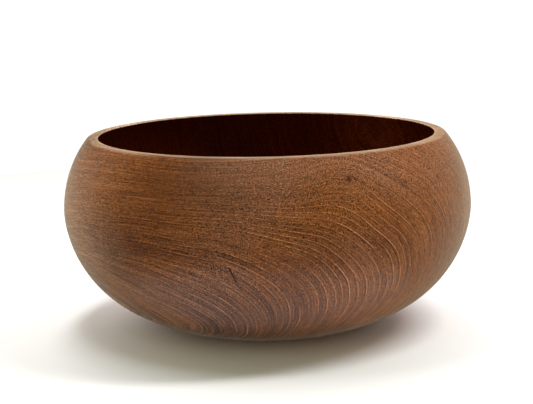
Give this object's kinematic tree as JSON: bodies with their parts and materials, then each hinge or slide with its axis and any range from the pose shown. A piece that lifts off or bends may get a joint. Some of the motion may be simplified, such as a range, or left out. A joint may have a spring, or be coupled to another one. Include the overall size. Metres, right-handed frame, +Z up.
{
  "type": "salad bowl",
  "caption": "Deep round turned wooden salad bowl with an incurved shoulder, a flat rim land and a shallow recessed foot.",
  "frame": {"origin": "centre of the foot, on the surface that the bowl stands on", "axes": "+Z up along the turning axis; +X and +Y level, the grain runs along X"},
  "size_m": [0.28, 0.28, 0.131],
  "materials": {
    "oiled_teak": "oiled satin, mid-brown with narrow dark growth bands, paler on the rim land and darker inside"
  },
  "bodies": {
    "root": {"bowl": "oiled_teak"}
  },
  "joints": []
}
